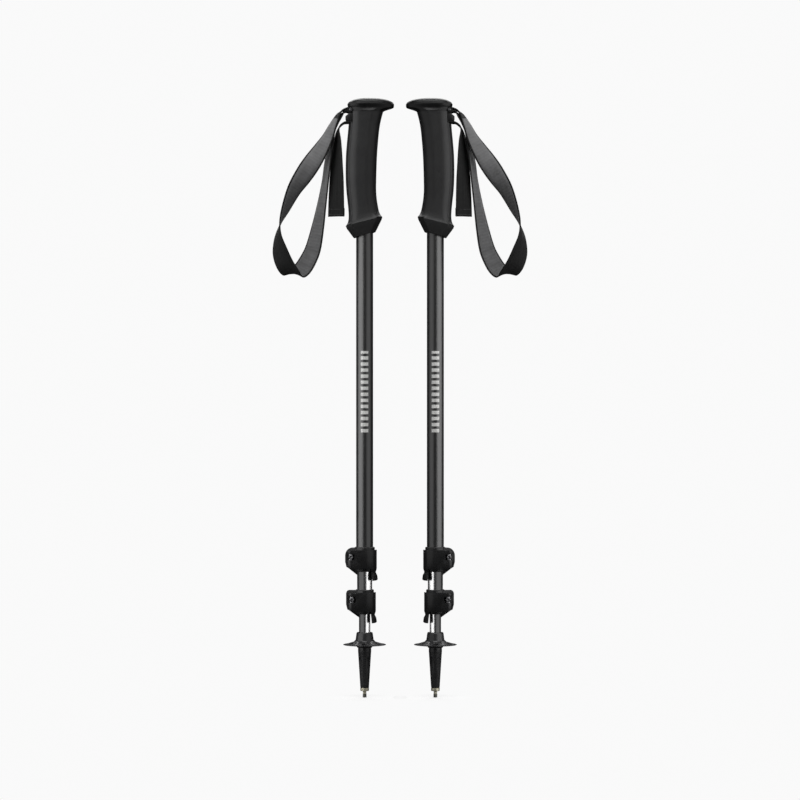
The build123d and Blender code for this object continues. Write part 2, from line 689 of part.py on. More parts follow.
def pole():
    """Every sub-part of the left pole, by name."""
    pieces = {
        "grip": grip(),
        "grip_cap": grip_cap(),
        "strap_pin": strap_pin(),
        "strap_wedge": strap_wedge(),
        "strap_root": strap_root(),
        "strap_loop": strap_loop(),
        "strap_tail": strap_tail(),
        "upper_shaft": tube(UPPER_R, UPPER_LOCK_Z, UPPER_TOP, LOCK_H + 4),
        "upper_shaft_plug": shaft_plug(),
        "middle_shaft": tube(MIDDLE_R, LOWER_LOCK_Z, MIDDLE_TOP, LOCK_H + 4),
        "middle_shaft_bushing": slide_bushing(MIDDLE_R, UPPER_R, MIDDLE_TOP, 8.0),
        "lower_shaft": tube(LOWER_R, TIP_SOCKET_Z, LOWER_TOP, 0),
        "lower_shaft_bushing": slide_bushing(LOWER_R, MIDDLE_R, LOWER_TOP, 8.0),
        "lower_lock_liner": lock_liner(LOWER_LOCK),
        "basket": basket(),
        "tip_body": tip_body(),
        "tip_ferrule": tip_ferrule(),
        "carbide_tip": carbide_tip(),
    }
    for lock in (UPPER_LOCK, LOWER_LOCK):
        pieces[lock.name + "_collar"] = lock_collar(lock)
        pieces[lock.name + "_lever"] = lock_lever(lock)
        pieces[lock.name + "_barrel"] = lock_barrel(lock)
        pieces[lock.name + "_screw"] = lock_screw(lock)
        pieces[lock.name + "_nut"] = lock_nut(lock)
    return pieces


os.makedirs("parts", exist_ok=True)
for name, piece in pole().items():
    left = Pos(-AXIS_X, 0, 0) * piece
    right = mirror(left, about=Plane.YZ)
    left.label, right.label = "left_" + name, "right_" + name
    export_step(left, f"parts/left_{name}.step")
    export_step(right, f"parts/right_{name}.step")
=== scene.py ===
"""A pair of collapsed trekking poles, standing side by side on a pale studio floor.

Sizes below are millimetres in the left pole's own frame: the shaft's axis is x = 0, the strap hangs towards
-x, the grip's beak points towards +x, the camera is on the -y side, and z = 0 is the floor. The right pole is
the same pieces mirrored. The studio's sizes are metres.
"""

import json
from itertools import product
from math import cos, pi, radians, sin, tan

import bmesh
import bpy
import numpy as np
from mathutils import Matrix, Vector

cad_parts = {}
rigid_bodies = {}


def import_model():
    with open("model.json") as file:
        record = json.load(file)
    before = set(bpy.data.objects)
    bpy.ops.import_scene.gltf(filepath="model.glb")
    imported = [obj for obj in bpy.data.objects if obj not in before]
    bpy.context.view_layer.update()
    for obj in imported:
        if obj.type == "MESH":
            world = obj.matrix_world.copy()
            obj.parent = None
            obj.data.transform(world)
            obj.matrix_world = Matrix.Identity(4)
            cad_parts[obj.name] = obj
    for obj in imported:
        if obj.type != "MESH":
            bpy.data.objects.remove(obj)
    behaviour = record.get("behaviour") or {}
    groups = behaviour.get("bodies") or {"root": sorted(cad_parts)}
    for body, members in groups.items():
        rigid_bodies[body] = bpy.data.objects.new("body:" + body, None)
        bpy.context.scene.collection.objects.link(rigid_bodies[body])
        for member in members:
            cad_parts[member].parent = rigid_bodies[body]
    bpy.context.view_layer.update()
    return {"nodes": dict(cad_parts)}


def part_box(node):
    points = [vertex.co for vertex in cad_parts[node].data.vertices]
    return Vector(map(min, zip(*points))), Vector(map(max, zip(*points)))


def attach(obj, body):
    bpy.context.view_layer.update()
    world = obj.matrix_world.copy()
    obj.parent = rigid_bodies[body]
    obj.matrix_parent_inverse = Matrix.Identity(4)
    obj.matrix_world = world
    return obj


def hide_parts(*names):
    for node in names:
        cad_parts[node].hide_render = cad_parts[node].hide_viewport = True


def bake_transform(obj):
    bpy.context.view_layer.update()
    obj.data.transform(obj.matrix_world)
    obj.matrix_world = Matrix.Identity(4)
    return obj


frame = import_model()

MM = 0.001
SIDES = ("left", "right")


def axis_x(side):
    """The x of that pole's shaft axis, in metres."""
    low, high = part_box(f"{side}_upper_shaft")
    return (low[0] + high[0]) / 2


def to_world(points, side):
    """Points in the left pole's frame, in millimetres, as places in the scene on that side."""
    points = np.array(points, dtype=float) * MM
    if side == "right":
        points[:, 0] *= -1
    points[:, 0] += axis_x(side)
    return points


# ---------------------------------------------------------------- mesh helpers


def catmull(rows, steps):
    """Rows of numbers with that many smooth steps between each pair."""
    rows = np.array(rows, dtype=float)
    padded = np.vstack([2 * rows[0] - rows[1], rows, 2 * rows[-1] - rows[-2]])
    out = []
    for i in range(1, len(padded) - 2):
        a, b, c, d = padded[i - 1 : i + 3]
        slope, square, cube = c - a, 2 * a - 5 * b + 4 * c - d, 3 * b - a - 3 * c + d
        for k in range(steps):
            t = k / steps
            out.append(0.5 * (2 * b + slope * t + square * t**2 + cube * t**3))
    out.append(rows[-1])
    return np.array(out)


def loft(rings):
    """A closed skin over rings of points, each with the same count, with its two ends filled."""
    count = len(rings[0])
    points = [p for ring in rings for p in ring]
    faces = []
    for i in range(len(rings) - 1):
        for j in range(count):
            k = (j + 1) % count
            faces.append((i * count + j, i * count + k, (i + 1) * count + k, (i + 1) * count + j))
    last = (len(rings) - 1) * count
    faces += [tuple(range(count))[::-1], tuple(range(last, last + count))]
    return points, faces


def new_piece(name, side, points, faces, materials, sharp=35.0, uvs=None, kinds=None):
    """A smooth-shaded mesh piece on that side, with edges sharper than that many degrees left crisp.

    uvs is one (u, v) for each point, and kinds is each face's material number."""
    mesh = bpy.data.meshes.new(f"{side}_{name}")
    mesh.from_pydata([tuple(p) for p in to_world(points, side)], [], [tuple(f) for f in faces])
    for material in materials:
        mesh.materials.append(material)
    if kinds is not None:
        mesh.polygons.foreach_set("material_index", kinds)
    if uvs is not None:
        layer = mesh.uv_layers.new(name="cloth")
        for loop in mesh.loops:
            layer.data[loop.index].uv = uvs[loop.vertex_index]
    work = bmesh.new()
    work.from_mesh(mesh)
    bmesh.ops.recalc_face_normals(work, faces=work.faces)
    crisp(work, sharp)
    work.to_mesh(mesh)
    work.free()
    piece = bpy.data.objects.new(f"{side}_{name}", mesh)
    bpy.context.scene.collection.objects.link(piece)
    return piece


def crisp(work, sharp):
    """Shades a bmesh smooth except at its sharp edges."""
    for face in work.faces:
        face.smooth = True
    for edge in work.edges:
        edge.smooth = len(edge.link_faces) == 2 and edge.calc_face_angle(0) < radians(sharp)


def apply_modifiers(piece, sharp=35.0):
    """Turns a piece's modifiers into its mesh."""
    shown = piece.evaluated_get(bpy.context.evaluated_depsgraph_get())
    mesh = bpy.data.meshes.new_from_object(shown)
    piece.modifiers.clear()
    old, piece.data = piece.data, mesh
    bpy.data.meshes.remove(old)
    work = bmesh.new()
    work.from_mesh(mesh)
    crisp(work, sharp)
    work.to_mesh(mesh)
    work.free()


def cut(piece, tool, sharp=35.0):
    """Takes a closed tool mesh out of a piece, and removes the tool."""
    difference = piece.modifiers.new("cut", "BOOLEAN")
    difference.operation, difference.object, difference.solver = "DIFFERENCE", tool, "EXACT"
    apply_modifiers(piece, sharp)
    bpy.data.objects.remove(tool)


def eased(node, body, material, width):
    """A copy of a CAD node's shape with its hard edges rounded off that wide, which stands for the node."""
    source = frame["nodes"][node]
    piece = bpy.data.objects.new(f"{node}_eased", source.data.copy())
    bpy.context.scene.collection.objects.link(piece)
    piece.data.materials.clear()
    piece.data.materials.append(material)
    work = bmesh.new()
    work.from_mesh(piece.data)
    bmesh.ops.remove_doubles(work, verts=work.verts, dist=1e-6)
    bmesh.ops.dissolve_limit(
        work, angle_limit=radians(0.5), verts=work.verts, edges=work.edges, use_dissolve_boundaries=False
    )
    work.to_mesh(piece.data)
    work.free()
    bevel = piece.modifiers.new("ease", "BEVEL")
    bevel.width, bevel.segments = width * MM, 2
    bevel.limit_method, bevel.angle_limit = "ANGLE", radians(30)
    bevel.use_clamp_overlap = True
    apply_modifiers(piece, sharp=40.0)
    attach(piece, body)
    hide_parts(node)
    return piece


# ---------------------------------------------------------------- materials


class Finish:
    """A material's node tree, made by naming its nodes and joining them as they are asked for."""

    def __init__(self, name, colour, roughness, metallic=0.0, specular=0.5):
        self.material = bpy.data.materials.new(name)
        self.material.use_nodes = True
        self.tree = self.material.node_tree
        self.shader = self.tree.nodes["Principled BSDF"]
        self.shader.inputs["Base Color"].default_value = (*colour, 1)
        self.shader.inputs["Roughness"].default_value = roughness
        self.shader.inputs["Metallic"].default_value = metallic
        self.shader.inputs["Specular IOR Level"].default_value = specular
        self.place = self.node("ShaderNodeTexCoord").outputs["Object"]
        self.cloth = self.node("ShaderNodeTexCoord").outputs["UV"]

    def node(self, kind, **inputs):
        """Adds a node. Each input is a number, a colour or another node's output."""
        made = self.tree.nodes.new(kind)
        for name, value in inputs.items():
            self.join(made.inputs[name.replace("_", " ")], value)
        return made

    def join(self, socket, value):
        if isinstance(value, bpy.types.NodeSocket):
            self.tree.links.new(value, socket)
        else:
            socket.default_value = value

    def math(self, operation, *values):
        made = self.tree.nodes.new("ShaderNodeMath")
        made.operation = operation
        for socket, value in zip(made.inputs, values):
            self.join(socket, value)
        return made.outputs[0]

    def noise(self, scale, detail, stretch=(1, 1, 1), where=None):
        """Noise with about that many blobs to the millimetre, stretched where a number is under 1."""
        placed = self.node("ShaderNodeMapping", Vector=where or self.place)
        placed.inputs["Scale"].default_value = [s / MM for s in stretch]
        made = self.node("ShaderNodeTexNoise", Vector=placed.outputs[0], Scale=scale, Detail=detail)
        made.inputs["Roughness"].default_value = 0.55
        return made.outputs["Fac"]

    def wave(self, place, pitch):
        """A sine wave along a coordinate, with that many millimetres between its crests."""
        return self.math("SINE", self.math("MULTIPLY", place, 2 * pi / (pitch * MM)))

    def product(self, *factors):
        total = factors[0]
        for factor in factors[1:]:
            total = self.math("MULTIPLY", total, factor)
        return total

    def split(self, vector):
        return self.node("ShaderNodeSeparateXYZ", Vector=vector).outputs

    def ramp(self, value, *stops):
        """Maps a value through (place, grey or colour) stops."""
        made = self.node("ShaderNodeValToRGB", Fac=value)
        band = made.color_ramp
        while len(band.elements) < len(stops):
            band.elements.new(0.5)
        for element, (place, tone) in zip(band.elements, stops):
            element.position = place
            tone = (tone, tone, tone) if isinstance(tone, (int, float)) else tone
            element.color = (*tone, 1)
        return made.outputs["Color"]

    def mix(self, amount, first, second):
        made = self.tree.nodes.new("ShaderNodeMix")
        made.data_type = "RGBA"
        self.join(made.inputs[0], amount)
        for socket, value in ((made.inputs[6], first), (made.inputs[7], second)):
            self.join(socket, value if isinstance(value, bpy.types.NodeSocket) else (*value, 1))
        return made.outputs[2]

    def colour(self, value):
        self.join(self.shader.inputs["Base Color"], value)

    def sheen(self, weight, roughness):
        self.shader.inputs["Sheen Weight"].default_value = weight
        self.shader.inputs["Sheen Roughness"].default_value = roughness

    def roughness(self, value, low, high):
        """Roughness that runs from low to high as the value goes from 0 to 1."""
        scaled = self.math("MULTIPLY_ADD", value, high - low, low)
        self.join(self.shader.inputs["Roughness"], scaled)

    def bump(self, height, depth, after=None):
        """Relief that deep in millimetres, on top of another bump's output."""
        made = self.node("ShaderNodeBump", Height=height, Strength=1.0, Distance=depth * MM)
        if after:
            self.join(made.inputs["Normal"], after)
        self.join(self.shader.inputs["Normal"], made.outputs[0])
        return made.outputs[0]


def moulded_plastic(name, base, roughness, grain, specular=0.5):
    """Moulded plastic with a spark-eroded grain, faint flow marks and a few fine scuffs."""
    finish = Finish(name, (base, base, base * 1.03), roughness, specular=specular)
    cloudy = finish.noise(0.06, 3)
    scuff = finish.noise(0.5, 5, stretch=(1, 1, 0.12))
    dark = (base * 0.8, base * 0.8, base * 0.83)
    light = (base * 1.25, base * 1.25, base * 1.28)
    scuffed = (base * 2.2, base * 2.2, base * 2.25)
    tone = finish.ramp(cloudy, (0.3, dark), (0.7, light))
    finish.colour(finish.mix(finish.ramp(scuff, (0.62, 0), (0.72, 1)), tone, scuffed))
    finish.roughness(finish.noise(0.35, 4), roughness - 0.08, roughness + 0.1)
    finish.bump(finish.noise(5.0, 2), grain)
    return finish.material


def grip_rubber():
    """Soft matt grip compound, with fine pores and a slight bloom."""
    finish = Finish("grip_rubber", (0.014, 0.014, 0.0145), 0.5, specular=0.5)
    bloom = finish.noise(0.05, 4)
    finish.colour(finish.ramp(bloom, (0.3, (0.011, 0.011, 0.0115)), (0.75, (0.018, 0.018, 0.0185))))
    finish.roughness(finish.noise(0.12, 3), 0.42, 0.56)
    pores = finish.bump(finish.ramp(finish.noise(2.6, 3), (0.35, 0), (0.6, 1)), 0.02)
    finish.bump(finish.noise(9.0, 2), 0.01, pores)
    return finish.material


def drawn_tube(name, base, roughness):
    """Anodised drawn tube: its finish, its tone with lengthwise draw lines, and the lines' relief."""
    finish = Finish(name, (base, base, base * 1.02), roughness, metallic=1.0)
    drawn = finish.noise(2.2, 3, stretch=(1, 1, 0.01))
    finish.roughness(drawn, roughness - 0.04, roughness + 0.06)
    tone = finish.ramp(drawn, (0.3, (base * 0.88,) * 3), (0.7, (base * 1.1,) * 3))
    return finish, tone, finish.bump(drawn, 0.0012)


def rubbed_tube(name, base, roughness):
    """A tube that slides in another, with light rub marks round it."""
    finish, tone, _ = drawn_tube(name, base, roughness)
    rubbed = finish.ramp(finish.noise(1.2, 5, stretch=(0.05, 0.05, 1)), (0.66, 0), (0.75, 0.5))
    finish.colour(finish.mix(rubbed, tone, (base * 1.5,) * 3))
    return finish.material


PRINT_BOTTOM, PRINT_TOP, PRINT_W = 281.0, 367.0, 8.0
BAR_PITCH, BAR_H = 6.4, 3.6  # the printed bars, up the tube


def printed_tube(name, base, roughness):
    """The upper tube: dark anodised, with a plain pale column of bars printed down its front."""
    finish, tone, lines = drawn_tube(name, base, roughness)
    x, y, z = (finish.math("DIVIDE", part, MM) for part in finish.split(finish.place))
    from_axis = finish.math("SUBTRACT", finish.math("ABSOLUTE", x), axis_x("right") / MM)
    phase = finish.math("FRACT", finish.math("DIVIDE", finish.math("SUBTRACT", z, PRINT_BOTTOM), BAR_PITCH))
    ink = finish.product(
        finish.math("GREATER_THAN", z, PRINT_BOTTOM),
        finish.math("LESS_THAN", z, PRINT_TOP),
        finish.math("LESS_THAN", finish.math("ABSOLUTE", from_axis), PRINT_W / 2),
        finish.math("LESS_THAN", phase, BAR_H / BAR_PITCH),
        finish.math("LESS_THAN", y, 0.0),
        finish.ramp(finish.noise(1.6, 4), (0.36, 0.55), (0.52, 1.0)),
    )
    finish.colour(finish.mix(ink, tone, (0.86, 0.86, 0.84)))
    finish.join(finish.shader.inputs["Metallic"], finish.math("SUBTRACT", 1.0, ink))
    finish.bump(ink, 0.02, lines)
    return finish.material


def plated_steel():
    finish = Finish("steel", (0.3, 0.3, 0.31), 0.28, metallic=1.0)
    turned = finish.noise(3.0, 3)
    finish.colour(finish.ramp(turned, (0.3, (0.22, 0.22, 0.23)), (0.7, (0.38, 0.38, 0.39))))
    finish.roughness(turned, 0.2, 0.38)
    finish.bump(turned, 0.006)
    return finish.material


def turned_ferrule():
    """Pale plated brass with fine lathe rings and a little tarnish."""
    finish = Finish("ferrule_metal", (0.7, 0.66, 0.5), 0.36, metallic=0.75)
    rings = finish.wave(finish.split(finish.place)["Z"], 0.35)
    tarnish = finish.noise(0.9, 4)
    finish.colour(finish.ramp(tarnish, (0.35, (0.6, 0.56, 0.4)), (0.65, (0.82, 0.79, 0.64))))
    finish.roughness(tarnish, 0.44, 0.3)
    finish.bump(rings, 0.006)
    return finish.material


def sintered_carbide():
    finish = Finish("carbide", (0.09, 0.09, 0.08), 0.42, metallic=0.85)
    grains = finish.noise(6.0, 4)
    finish.colour(finish.ramp(grains, (0.35, (0.12, 0.12, 0.105)), (0.7, (0.3, 0.3, 0.27))))
    finish.roughness(grains, 0.32, 0.55)
    finish.bump(grains, 0.012)
    return finish.material


def black_webbing():
    """Woven webbing, with cords lengthwise and picks across them."""
    finish = Finish("webbing", (0.018,) * 3, 0.85, specular=0.2)
    finish.sheen(0.04, 0.5)
    u, v, _ = finish.split(finish.cloth)
    cords, picks = finish.wave(v, 1.1), finish.wave(u, 1.6)
    weave = finish.math("MULTIPLY_ADD", finish.product(cords, picks), 0.25, 0.5)
    weave = finish.math("MULTIPLY_ADD", cords, 0.25, weave)
    thread = finish.noise(3.0, 3, stretch=(0.08, 1, 1), where=finish.cloth)
    streak = finish.noise(0.8, 3, stretch=(0.02, 1, 1), where=finish.cloth)
    shade = finish.math("MULTIPLY_ADD", weave, 0.5, 0.5)
    tone = finish.product(shade, finish.math("ADD", thread, streak))
    finish.colour(finish.ramp(tone, (0.38, (0.001,) * 3), (0.85, (0.018,) * 3)))
    finish.bump(thread, 0.05, finish.bump(weave, 0.1))
    return finish.material


def ribbed_lining():
    """The strap's grey lining: soft brushed knit with ribs across it."""
    finish = Finish("lining_grey", (0.2, 0.2, 0.202), 0.9, specular=0.15)
    finish.sheen(0.15, 0.45)
    ribs = finish.wave(finish.split(finish.cloth)["X"], 3.4)
    knit = finish.noise(4.5, 3, where=finish.cloth)
    patch = finish.noise(0.12, 3, stretch=(1, 0.5, 1), where=finish.cloth)
    tone = finish.math("MULTIPLY_ADD", ribs, 0.03, 0.1)
    for part in (knit, patch):
        tone = finish.math("MULTIPLY_ADD", part, 0.5, tone)
    finish.colour(finish.ramp(tone, (0.3, (0.09,) * 3), (0.85, (0.2, 0.2, 0.203))))
    finish.bump(knit, 0.06, finish.bump(ribs, 0.03))
    return finish.material


def sewing_thread():
    finish = Finish("thread", (0.045, 0.045, 0.046), 0.5, specular=0.4)
    twist = finish.noise(7.0, 2)
    finish.colour(finish.ramp(twist, (0.35, (0.03, 0.03, 0.031)), (0.7, (0.07, 0.07, 0.071))))
    finish.roughness(twist, 0.4, 0.6)
    finish.bump(twist, 0.03)
    return finish.material


GRIP = grip_rubber()
CAP = moulded_plastic("cap_plastic", 0.005, 0.34, 0.008, specular=0.3)
LOCK = moulded_plastic("lock_plastic", 0.013, 0.34, 0.008, specular=0.45)
TIP = moulded_plastic("tip_plastic", 0.028, 0.26, 0.006)
DARK_TUBE = printed_tube("dark_anodised", 0.14, 0.34)
SILVER_TUBE = rubbed_tube("silver_anodised", 0.62, 0.24)
STEEL = plated_steel()
FERRULE = turned_ferrule()
CARBIDE = sintered_carbide()
WEBBING = black_webbing()
LINING = ribbed_lining()
THREAD = sewing_thread()

# ---------------------------------------------------------------- grip


def on_circle(centre, radius, quarters):
    """The point that many quarter turns round a circle."""
    a = quarters * pi / 2
    return np.array(centre) + radius * np.array([cos(a), sin(a)])


def rounded_ring(width, depth, radius, cut_share, groove=0.0):
    """A rounded rectangle's outline, whose corners turn to straight cuts as cut_share goes to 1.

    A groove that deep runs up the middle of each corner on the -x side."""
    per_corner, per_side = 17, 4
    half_w, half_d = width / 2, depth / 2
    radius = min(radius, half_w - 0.5, half_d - 0.5)
    signs = ((1, 1), (-1, 1), (-1, -1), (1, -1))
    centres = [(sx * (half_w - radius), sy * (half_d - radius)) for sx, sy in signs]
    ring = []
    for corner, centre in enumerate(centres):
        first, last = (on_circle(centre, radius, corner + end) for end in (0, 1))
        for k in range(per_corner):
            t = k / (per_corner - 1)
            depth_here = groove if centre[0] < 0 and k == per_corner // 2 else 0.0
            arc = on_circle(centre, radius - depth_here, corner + t)
            ring.append(arc * (1 - cut_share) + (first * (1 - t) + last * t) * cut_share)
        start = on_circle(centres[(corner + 1) % 4], radius, corner + 1)
        for k in range(1, per_side):
            ring.append(last + (start - last) * k / per_side)
    return ring


def tilted_ring(flat, x, z, degrees):
    """A flat outline put across the grip with its +x side raised by that many degrees."""
    a = radians(degrees)
    return [(x + p[0] * cos(a), p[1], z + p[0] * sin(a)) for p in flat]


# Up the grip from its rim: centre x and z, tilt, width, depth, corner radius.
GRIP_ROWS = [
    (-0.6, 504.1, 14.4, 39.8, 31.2, 6.6),
    (-0.5, 505.0, 14.4, 38.2, 30.4, 7.6),
    (-0.5, 507.4, 13.8, 35.4, 28.9, 9.4),
    (-0.8, 511.6, 12.0, 32.9, 27.7, 10.6),
    (-1.5, 518.0, 9.2, 31.6, 27.1, 11.4),
    (-2.6, 527.0, 6.4, 31.1, 26.9, 11.9),
    (-3.5, 537.0, 4.0, 31.5, 27.2, 12.2),
    (-3.8, 549.0, 1.5, 32.3, 27.7, 12.4),
    (-3.7, 562.0, 0.0, 32.7, 28.0, 12.5),
    (-3.2, 576.0, 0.0, 32.9, 28.0, 12.4),
    (-2.1, 590.0, 0.0, 32.8, 27.8, 12.2),
    (-0.8, 603.0, 0.0, 32.9, 27.7, 12.0),
    (0.3, 612.0, 0.0, 34.0, 28.2, 12.0),
    (1.4, 620.0, 0.0, 36.0, 29.0, 12.0),
]
GROOVE = 0.7  # depth of the groove up the two corners on the strap's side
GROOVE_Z, GROOVE_FADE = 509.0, 6.0  # where it starts, and how far up it is at its full depth
GRIP_BORE_R = 9.1
# The cone under the rim: its lower end's width, depth, corner radius and tilt.
CONE_W, CONE_D, CONE_CORNER, CONE_TILT = 24.0, 23.4, 5.6, 15.7
CONE_Z = 490.0
SLOT_HALF_W = 10.75  # the slot for the strap, through the grip's head and the cap
SLOT_BACK, SLOT_FRONT = -30.0, -10.0


def box_tool(side, low, high):
    """A plain box to cut with."""
    (x0, y0, z0), (x1, y1, z1) = low, high
    ring = [(x0, y0), (x1, y0), (x1, y1), (x0, y1)]
    points, faces = loft([[(x, y, z) for x, y in ring] for z in (z0, z1)])
    return new_piece("tool", side, points, faces, [])


def cut_slot(piece, side, bottom, top, sharp):
    """Cuts the strap's slot into a piece between two heights."""
    low, high = (SLOT_BACK, -SLOT_HALF_W, bottom), (SLOT_FRONT, SLOT_HALF_W, top)
    cut(piece, box_tool(side, low, high), sharp)


def make_grip(side):
    slope = tan(radians(CONE_TILT))
    lower_end = rounded_ring(CONE_W, CONE_D, CONE_CORNER, 1.0)
    bore = [GRIP_BORE_R * p / np.linalg.norm(p) for p in lower_end]
    # The inside against the shaft, the cone under the rim, the rim, then the handle.
    rings = [[(x, y, CONE_Z + up + x * slope) for x, y in bore] for up in (4.0, 0.6)]
    rings.append(tilted_ring([p * 0.93 for p in lower_end], 0.0, CONE_Z, CONE_TILT))
    rings.append(tilted_ring(lower_end, 0.0, CONE_Z + 0.3, CONE_TILT))
    for t in (0.3, 0.6, 0.9):
        flat = rounded_ring(CONE_W + 15.8 * t, CONE_D + 7.8 * t, CONE_CORNER + 0.8 * t, 1.0)
        rings.append(tilted_ring(flat, -0.6 * t, CONE_Z + 0.3 + 13.0 * t, CONE_TILT - 1.3 * t))
    for i, (x, z, tilt, width, depth, radius) in enumerate(catmull(GRIP_ROWS, 5)):
        share = max(0.0, 1.0 - i / 4.0)
        groove = GROOVE * min(1.0, max(0.0, (z - GROOVE_Z) / GROOVE_FADE))
        rings.append(tilted_ring(rounded_ring(width, depth, radius, share, groove), x, z, tilt))
    points, faces = loft(rings)
    piece = new_piece("grip_body", side, points, faces, [GRIP], sharp=28)
    cut_slot(piece, side, 608.4, 621, 28)
    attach(piece, f"{side}_pole")
    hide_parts(f"{side}_grip")


# Up the cap: height, rear x, front x, depth, and how much narrower the beak is.
CAP_ROWS = [
    (620.0, -16.5, 19.3, 29.0, 0.0),
    (621.4, -16.6, 20.6, 29.2, 0.06),
    (623.0, -16.8, 25.0, 29.8, 0.2),
    (624.6, -17.2, 30.2, 30.8, 0.34),
    (626.2, -17.9, 31.1, 32.2, 0.38),
    (628.2, -18.2, 31.2, 33.0, 0.38),
    (629.2, -17.9, 30.9, 32.8, 0.38),
    (630.6, -16.7, 29.7, 31.6, 0.37),
    (632.0, -14.6, 27.4, 29.2, 0.34),
    (633.2, -11.4, 23.8, 25.0, 0.3),
    (634.2, -7.2, 18.8, 18.6, 0.24),
    (634.8, -2.8, 12.6, 11.0, 0.16),
    (635.0, 2.6, 6.6, 3.4, 0.0),
]


def egg_ring(z, rear, front, depth, narrow):
    """The cap's outline at a height: an oval that is a little square, and narrower at its beak."""
    centre, half = (rear + front) / 2, (front - rear) / 2
    count = 56
    ring = []
    for k in range(count):
        t = 2 * pi * k / count
        side = 1 - narrow * (1 + cos(t)) / 2
        square = 1 + 0.1 * sin(2 * t) ** 2
        ring.append((centre + half * cos(t) * square, depth / 2 * sin(t) * side * square, z))
    return ring


def make_cap(side):
    rings = []
    for z, rear, front, depth, narrow in catmull(CAP_ROWS, 4):
        # A fine groove where the dome meets its skirt.
        groove = 0.35 * np.exp(-(((z - 629.3) / 0.3) ** 2))
        rings.append(egg_ring(z, rear + groove, front - groove, depth - 2 * groove, narrow))
    points, faces = loft(rings)
    piece = new_piece("cap_shell", side, points, faces, [CAP], sharp=50)
    cut_slot(piece, side, 619, 625.7, 50)
    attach(piece, f"{side}_pole")
    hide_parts(f"{side}_grip_cap")


# ---------------------------------------------------------------- strap

STRAP_W, STRAP_T = 20.0, 1.5
LOOP_ROUTE = [
    ((-20.6, 0.0, 623.1), (0.0, 1.0, 0.0)),
    ((-24.2, 0.0, 621.4), (-0.06, 1.0, 0.03)),
    ((-28.3, -0.3, 617.2), (-0.2, 0.97, 0.1)),
    ((-33.8, -0.8, 606.0), (-0.38, 0.90, 0.2)),
    ((-39.4, -1.4, 593.2), (-0.55, 0.78, 0.30)),
    ((-47.0, -2.2, 580.0), (-0.76, 0.53, 0.38)),
    ((-54.9, -3.0, 567.7), (-0.89, 0.15, 0.42)),
    ((-65.4, -3.8, 552.0), (-0.83, -0.35, 0.42)),
    ((-74.8, -4.6, 537.3), (-0.64, -0.72, 0.30)),
    ((-83.5, -5.4, 517.6), (-0.36, -0.92, 0.12)),
    ((-89.3, -6.2, 502.0), (0.0, -1.0, 0.0)),
    ((-91.2, -6.8, 487.0), (0.42, -0.90, 0.08)),
    ((-88.9, -7.2, 471.0), (0.84, -0.53, 0.1)),
    ((-84.2, -6.6, 458.5), (0.97, -0.22, 0.04)),
    ((-78.6, -2.6, 451.2), (1.0, -0.04, -0.04)),
    ((-72.6, 3.4, 449.6), (0.99, 0.0, -0.13)),
    ((-66.2, 8.2, 454.6), (0.95, -0.2, -0.2)),
    ((-60.0, 10.2, 464.6), (0.90, -0.36, -0.2)),
    ((-54.8, 10.4, 477.0), (0.83, -0.53, -0.17)),
    ((-49.9, 9.4, 499.0), (0.67, -0.73, -0.11)),
    ((-45.6, 7.8, 523.3), (0.49, -0.87, -0.08)),
    ((-41.8, 6.0, 547.6), (0.37, -0.93, -0.06)),
    ((-39.4, 4.4, 567.0), (0.34, -0.94, -0.06)),
    ((-36.4, 2.6, 585.0), (0.26, -0.96, -0.04)),
    ((-33.3, 1.2, 599.4), (0.19, -0.98, -0.06)),
    ((-30.0, 0.5, 609.0), (0.22, -0.97, -0.14)),
    ((-25.8, 0.1, 616.2), (0.17, -0.97, -0.18)),
    ((-20.6, 0.0, 620.9), (0.0, -1.0, 0.0)),
]
TAIL_ROUTE = [
    ((-10.4, 0.0, 609.15), (0.0, -1.0, 0.0)),
    ((-19.0, 0.0, 609.15), (0.0, -1.0, 0.0)),
    ((-22.6, 0.0, 608.3), (0.02, -1.0, -0.02)),
    ((-26.2, 0.0, 605.2), (0.05, -1.0, 0.0)),
    ((-28.3, -0.1, 600.6), (0.14, -0.99, 0.0)),
    ((-28.9, -0.3, 590.4), (0.38, -0.92, 0.0)),
    ((-29.2, -0.6, 577.0), (0.53, -0.85, 0.0)),
    ((-29.5, -1.0, 563.5), (0.64, -0.77, 0.0)),
    ((-29.7, -1.4, 548.0), (0.75, -0.66, 0.0)),
    ((-30.0, -1.8, 527.0), (0.83, -0.56, 0.0)),
    ((-30.1, -2.0, 509.6), (0.86, -0.50, -0.04)),
]
# The band's section: place across it as a share of half its width, height above its middle as a share of half
# its thickness, and 1 where the lining shows.
BAND = [
    (-1.0, 0.0, 0),
    (-0.985, 0.7, 0),
    (-0.95, 1.0, 0),
    (-0.5, 1.0, 0),
    (0.0, 1.0, 0),
    (0.5, 1.0, 0),
    (0.95, 1.0, 0),
    (0.985, 0.7, 0),
    (1.0, 0.0, 0),
    (0.985, -0.6, 0),
    (0.95, -0.8, 0),
    (0.84, -0.8, 1),
    (0.82, -1.1, 1),
    (0.4, -1.15, 1),
    (0.0, -1.15, 1),
    (-0.4, -1.15, 1),
    (-0.82, -1.1, 1),
    (-0.84, -0.8, 0),
    (-0.95, -0.8, 0),
    (-0.985, -0.6, 0),
]


